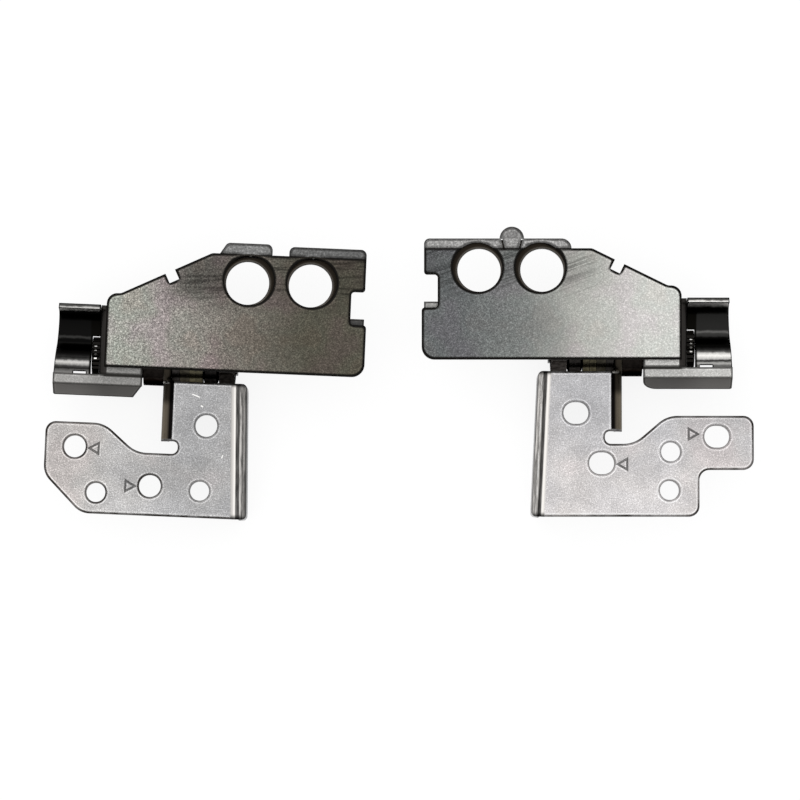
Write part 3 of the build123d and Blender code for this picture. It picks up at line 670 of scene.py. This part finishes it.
class HINGES_OT_base_brackets(bpy.types.Operator):
    """Light nickel finish of both base brackets with stamped arrows, painted dark edges, a brown ear film
    with painted light and painted reflections on the flange fold
    """

    bl_idname = "hinges.base_brackets"
    bl_label = "Base Brackets"

    def execute(self, context):
        looks = context.scene.hinge_base
        for side in SIDES:
            finish = Finish(f"{side} bracket nickel", side)
            shade = self.nickel(finish, looks, side)
            shade, fine = finish.speckled(shade, getattr(looks, f"{side}_speckle"))
            stamp, lit = self.stamped(finish, side)
            # Painted shade in the stamped lines and a painted highlight on their lit side
            shade = finish.scaled(shade, finish.math("MULTIPLY_ADD", lit, 0.3, 1.0))
            unmarked = finish.math("SUBTRACT", 1.0, finish.math("MULTIPLY", stamp, looks.mark))
            shade = finish.scaled(shade, unmarked)
            # Handling nicks painted as bright glints
            if side == "left":
                for middle, length, width, turn in NICKS:
                    shade = finish.blend(finish.nick(middle, length, width, turn), shade, NICK_GLINT)
            # Painted dark reflection on the rolled edges, patchy and weaker at some holes, with a painted
            # highlight line beside it
            patchy = finish.ease(finish.noise(scale=0.35), 0.38, 0.62, EDGE_LEAST[side], 1.0)
            for middle in SOFT_RIMS[side]:
                away = finish.distance((*middle, BRACKET_FACE))
                remains = finish.ease(away, SOFT_RIM_REACH - 0.3, SOFT_RIM_REACH, SOFT_RIM, 1.0)
                patchy = finish.both(patchy, remains)
            shade = finish.painted_edge_light(shade, radius=0.65, lift=0.8, dark=tuple(looks.edge), depth=patchy)
            shade = self.folded(finish, shade, side)
            strip = finish.within(finish.u, *EAR_STRIP)
            strip = finish.both(strip, finish.ease(finish.v, FILM_END - 0.05, FILM_END + 0.1))
            finish.colour(finish.blend(strip, shade, self.film(finish, looks, side)))
            finish.rough(looks.gloss)
            height = finish.math("MULTIPLY_ADD", stamp, -1.0, finish.math("MULTIPLY", fine, 0.12))
            finish.relief(height, depth=0.14)
            dress(f"{side}_base_bracket", finish)
        return {"FINISHED"}

    def film(self, finish, looks, side):
        """Brown film on the ear, painted lighter on its lit outer edge and with painted shade that turns it
        black towards the leg and dark near the pin, and a painted glint on top.
        """
        past = finish.math("SUBTRACT", finish.u, FILM_START)
        stops = ((0.0, FILM_LIT_EDGE), (0.15, FILM_BROWN), (0.65, tuple(looks.ear)), (1.0, FILM_SHADED_BLACK))
        shade = finish.ramp(past, *stops)
        shade = finish.scaled(shade, finish.ease(finish.v, *FILM_SHADE, 0.22, 0.95))
        return finish.blend(finish.nick(EAR_GLINTS[side], length=1.0, width=0.3, turn=0.0), shade, GLINT)

    def nickel(self, finish, looks, side):
        """Nickel that changes from leg to arm or lower edge, with faint pink and blue clouds."""
        if side == "left":
            run = finish.ease(finish.u, *ARM_TO_LEG)
            shade = finish.blend(run, tuple(looks.left_arm), tuple(looks.left_leg))
            shade = finish.scaled(shade, finish.ease(finish.v, *LEFT_LOWER, 1.0, 1.16))
        else:
            run = finish.ease(finish.v, *LOWER_TO_LEG)
            shade = finish.blend(run, tuple(looks.right_low), tuple(looks.right_leg))
        hue = finish.ramp(finish.noise(scale=0.13), *zip(NICKEL_STOPS, NICKEL_HUES))
        cloud = finish.ease(finish.noise(scale=0.3, detail=4.0, rough=0.6), 0.3, 0.7, 0.9, 1.12)
        return finish.scaled(finish.blend(1.0, shade, hue, "MULTIPLY"), cloud)

    def stamped(self, finish, side):
        """Share of the stamped arrows on the flat face, painted as shade in their lines, and of the lit
        side of their lines, painted as highlight.
        """
        off = ARROW_LINE * 0.7
        marks = [finish.triangle(tip, way) for tip, way in ARROWS[side]]
        lit = [finish.triangle((tip[0] + off, tip[1] - off), way) for tip, way in ARROWS[side]]
        return finish.math("MAXIMUM", *marks), finish.math("MAXIMUM", *lit)

    def folded(self, finish, shade, side):
        """Painted reflections across the fold of the inner flange: bright crease, black line and streaks,
        with painted shade towards its ends.
        """
        lean = math.tan(math.radians(FOLD_LEAN[side]))
        down = finish.math("SUBTRACT", LEG_TOP, finish.v)
        line = finish.math("MULTIPLY_ADD", down, lean, FOLD_START[side])
        past = finish.math("SUBTRACT", finish.u, line)
        place = finish.drawn_out(90.0 + FOLD_LEAN[side], length=3.2, width=0.24)
        worn = finish.noise(scale=1.0, detail=3.0, rough=0.65, place=place)
        tone = finish.graded(past, FOLD_REACH, FOLD_REFLECTIONS[side], FOLD_HUE)
        streaks = finish.ease(worn, 0.36, 0.62, 0.4, 1.4)
        streaks = finish.blend(finish.ease(past, 0.0, 0.2), (1.0, 1.0, 1.0), streaks)
        tone = finish.blend(1.0, tone, streaks, "MULTIPLY")
        # Painted shade towards the fold's upper and lower ends
        lower = finish.ease(finish.v, FOLD_END[side] + 0.1, FOLD_END[side] + 0.7)
        ends = finish.both(lower, finish.ease(finish.v, LEG_TOP - 0.1, LEG_TOP - 0.6))
        tone = finish.scaled(tone, finish.math("MULTIPLY_ADD", ends, 0.9, 0.1))
        first = FOLD_REFLECTIONS[side][0][0]
        inward = finish.ease(past, first - 0.15, first + 0.1)
        on_fold = finish.both(inward, finish.ease(finish.z, *FOLD_UNDER))
        return finish.blend(on_fold, shade, tone)


class HINGES_OT_pins_and_stacks(bpy.types.Operator):
    """Blackened pins, washers, springs and nuts, and brass washers"""

    bl_idname = "hinges.pins_and_stacks"
    bl_label = "Pins and Stacks"

    def execute(self, context):
        looks = context.scene.hinge_small
        for side in SIDES:
            # Painted shade: the left springs and nut are darkened beside the right ones, and the left
            # thrust washer takes more brass tone
            lit = looks.left_lit if side == "left" else 1.0
            black = tuple(lit * channel for channel in looks.black)
            spring = tuple(SPRING_SHARE * channel for channel in black)
            nut = tuple(NUT_SHARE * channel for channel in black)
            washer = tuple(looks.black)
            brown = 0.3 / lit ** 0.5
            warm = tuple(0.5 * dark + brown * brass for dark, brass in zip(looks.black, looks.brass))
            dress(f"{side}_ear_washer", self.oiled(f"{side} ear washer black", washer, rough=0.3))
            dress(f"{side}_thrust_washer", self.oiled(f"{side} thrust washer brown", warm, rough=0.3))
            dress(f"{side}_brass_washers", self.oiled(f"{side} oiled brass", tuple(looks.brass), rough=0.3))
            dress(f"{side}_disc_springs", self.oiled(f"{side} spring black", spring, rough=0.28))
            dress(f"{side}_lock_nut", self.oiled(f"{side} nut black", nut, rough=0.35))
            dress(f"{side}_pin_shaft", self.oiled(f"{side} pin black", PIN_BLACK, rough=0.2, side=side))
        return {"FINISHED"}

    def oiled(self, name, tone, rough, side=None):
        """Dark oiled metal with a faint cloud; a pin's head is black with painted highlights on the tooth
        tips on top.
        """
        finish = Finish(name, side, grazing=0.1)
        cloud = finish.noise(scale=2.0, detail=3.0)
        shade = finish.scaled(tone, finish.ease(cloud, 0.3, 0.7, 0.7, 1.3))
        if side:
            shade = finish.blend(finish.ease(finish.u, *HEAD_START), shade, HEAD_BLACK)
            # Painted highlights on the tooth tips at the top of the pin's head
            wave = finish.math("SINE", finish.math("MULTIPLY", finish.v, 2 * math.pi / TOOTH_PITCH))
            tip_highlights = finish.ease(wave, 0.2, 0.8)
            across, up = LIT_TEETH
            top = finish.both(finish.within(finish.u, *across), finish.within(finish.v, *up))
            shade = finish.blend(finish.both(tip_highlights, top), shade, TOOTH_HIGHLIGHT)
        # Painted dark reflection on the rolled edges with a painted highlight line
        finish.colour(finish.painted_edge_light(shade, radius=0.1, lift=1.2, dark=STACK_EDGE_SHADE))
        finish.rough(rough)
        finish.relief(cloud, depth=0.01)
        return finish


class HINGES_OT_studio(bpy.types.Operator):
    """White floor, soft light and the camera above the hinges"""

    bl_idname = "hinges.studio"
    bl_label = "Studio"

    def execute(self, context):
        looks = context.scene.hinge_studio
        context.scene.view_settings.view_transform = "Standard"
        self.floor(context.scene, looks)
        self.world(context.scene)
        self.lamps(context.scene, looks)
        self.camera(context.scene, looks)
        return {"FINISHED"}

    def seen(self, tree):
        """One for rays that see or mirror a surface, zero for rays that light others."""
        path = tree.nodes.new("ShaderNodeLightPath")
        total = path.outputs["Is Camera Ray"]
        for name in ("Is Glossy Ray", "Is Transmission Ray"):
            either = tree.nodes.new("ShaderNodeMath")
            either.operation = "MAXIMUM"
            tree.links.new(total, either.inputs[0])
            tree.links.new(path.outputs[name], either.inputs[1])
            total = either.outputs[0]
        return total

    def floor(self, scene, looks):
        """Pale floor that keeps the hinges' shadow, lifted to white where it is seen or mirrored."""
        corners = FLOOR_HALF * np.array([(-1, -1, 0), (1, -1, 0), (1, 1, 0), (-1, 1, 0)], dtype=float)
        mesh = bpy.data.meshes.new("floor")
        mesh.from_pydata(corners.tolist(), [], [(0, 1, 2, 3)])
        floor = bpy.data.objects.new("floor", mesh)
        scene.collection.objects.link(floor)
        material = bpy.data.materials.new("white floor")
        material.use_nodes = True
        tree = material.node_tree
        tree.nodes.clear()
        diffuse = tree.nodes.new("ShaderNodeBsdfDiffuse")
        diffuse.inputs["Color"].default_value = (*looks.floor, 1.0)
        lift = tree.nodes.new("ShaderNodeEmission")
        lift.inputs["Color"].default_value = (1.0, 1.0, 1.0, 1.0)
        strength = tree.nodes.new("ShaderNodeMath")
        strength.operation = "MULTIPLY"
        tree.links.new(self.seen(tree), strength.inputs[0])
        strength.inputs[1].default_value = looks.backdrop
        tree.links.new(strength.outputs[0], lift.inputs["Strength"])
        total = tree.nodes.new("ShaderNodeAddShader")
        tree.links.new(diffuse.outputs[0], total.inputs[0])
        tree.links.new(lift.outputs[0], total.inputs[1])
        output = tree.nodes.new("ShaderNodeOutputMaterial")
        tree.links.new(total.outputs[0], output.inputs["Surface"])
        mesh.materials.append(material)

    def world(self, scene):
        """Sky that is bright overhead and dimmer near the table."""
        world = bpy.data.worlds.new("soft studio")
        world.use_nodes = True
        tree = world.node_tree
        tree.nodes.clear()
        place = tree.nodes.new("ShaderNodeTexCoord")
        split = tree.nodes.new("ShaderNodeSeparateXYZ")
        ramp = tree.nodes.new("ShaderNodeValToRGB")
        bar = ramp.color_ramp
        while len(bar.elements) < len(SKY):
            bar.elements.new(0.5)
        for element, (spot, level) in zip(bar.elements, SKY):
            element.position = spot
            element.color = (level, level, level, 1.0)
        tree.links.new(place.outputs["Generated"], split.inputs[0])
        tree.links.new(split.outputs[2], ramp.inputs["Fac"])
        back = tree.nodes.new("ShaderNodeBackground")
        back.inputs["Strength"].default_value = SKY_STRENGTH
        tree.links.new(ramp.outputs["Color"], back.inputs["Color"])
        output = tree.nodes.new("ShaderNodeOutputWorld")
        tree.links.new(back.outputs[0], output.inputs["Surface"])
        scene.world = world

    def lamps(self, scene, looks):
        """One soft lamp above and behind the lid plates."""
        light = bpy.data.lights.new("key", "AREA")
        light.shape = "RECTANGLE"
        light.size, light.size_y = KEY_SIZE
        light.energy = looks.key
        lamp = bpy.data.objects.new("key", light)
        lamp.location = KEY_PLACE
        lamp.rotation_mode = "QUATERNION"
        lamp.rotation_quaternion = (-Vector(KEY_PLACE)).to_track_quat("-Z", "Y")
        scene.collection.objects.link(lamp)

    def camera(self, scene, looks):
        """Camera almost straight above, aimed between the hinges at the height of the brackets."""
        data = bpy.data.cameras.new("overhead")
        data.sensor_width = SENSOR
        data.lens = SENSOR * looks.distance / looks.view_width
        camera = bpy.data.objects.new("overhead", data)
        back = Vector((0.0, -math.cos(looks.height), math.sin(looks.height)))
        camera.location = Vector(AIM) + back * looks.distance
        camera.rotation_mode = "QUATERNION"
        camera.rotation_quaternion = (-back).to_track_quat("-Z", "Y")
        data.clip_start = 0.01
        data.clip_end = 20.0
        scene.collection.objects.link(camera)
        scene.camera = camera


PIECES = (
    HINGES_OT_lid_plates,
    HINGES_OT_carriers,
    HINGES_OT_cable_guides,
    HINGES_OT_base_brackets,
    HINGES_OT_pins_and_stacks,
    HINGES_OT_studio,
)


class HINGES_PT_panel(bpy.types.Panel):
    """The hinges' pieces and their looks"""

    bl_label = "Laptop Hinge Pair"
    bl_idname = "HINGES_PT_panel"
    bl_space_type = "VIEW_3D"
    bl_region_type = "UI"
    bl_category = "Hinges"

    def draw(self, context):
        for piece in PIECES:
            self.layout.operator(piece.bl_idname)
        for name in GROUPS:
            group = getattr(context.scene, name)
            box = self.layout.box()
            for item in group.__annotations__:
                box.prop(group, item)


GROUPS = {
    "hinge_lid": LidLooks,
    "hinge_base": BaseLooks,
    "hinge_small": SmallLooks,
    "hinge_studio": StudioLooks,
}
CLASSES = (*GROUPS.values(), *PIECES, HINGES_PT_panel)


def register():
    for item in CLASSES:
        bpy.utils.register_class(item)
    for name, group in GROUPS.items():
        setattr(bpy.types.Scene, name, bpy.props.PointerProperty(type=group))


def unregister():
    for name in GROUPS:
        delattr(bpy.types.Scene, name)
    for item in reversed(CLASSES):
        bpy.utils.unregister_class(item)


def main():
    register()
    for piece in PIECES:
        family, name = piece.bl_idname.split(".")
        getattr(getattr(bpy.ops, family), name)()


if __name__ == "__main__":
    main()
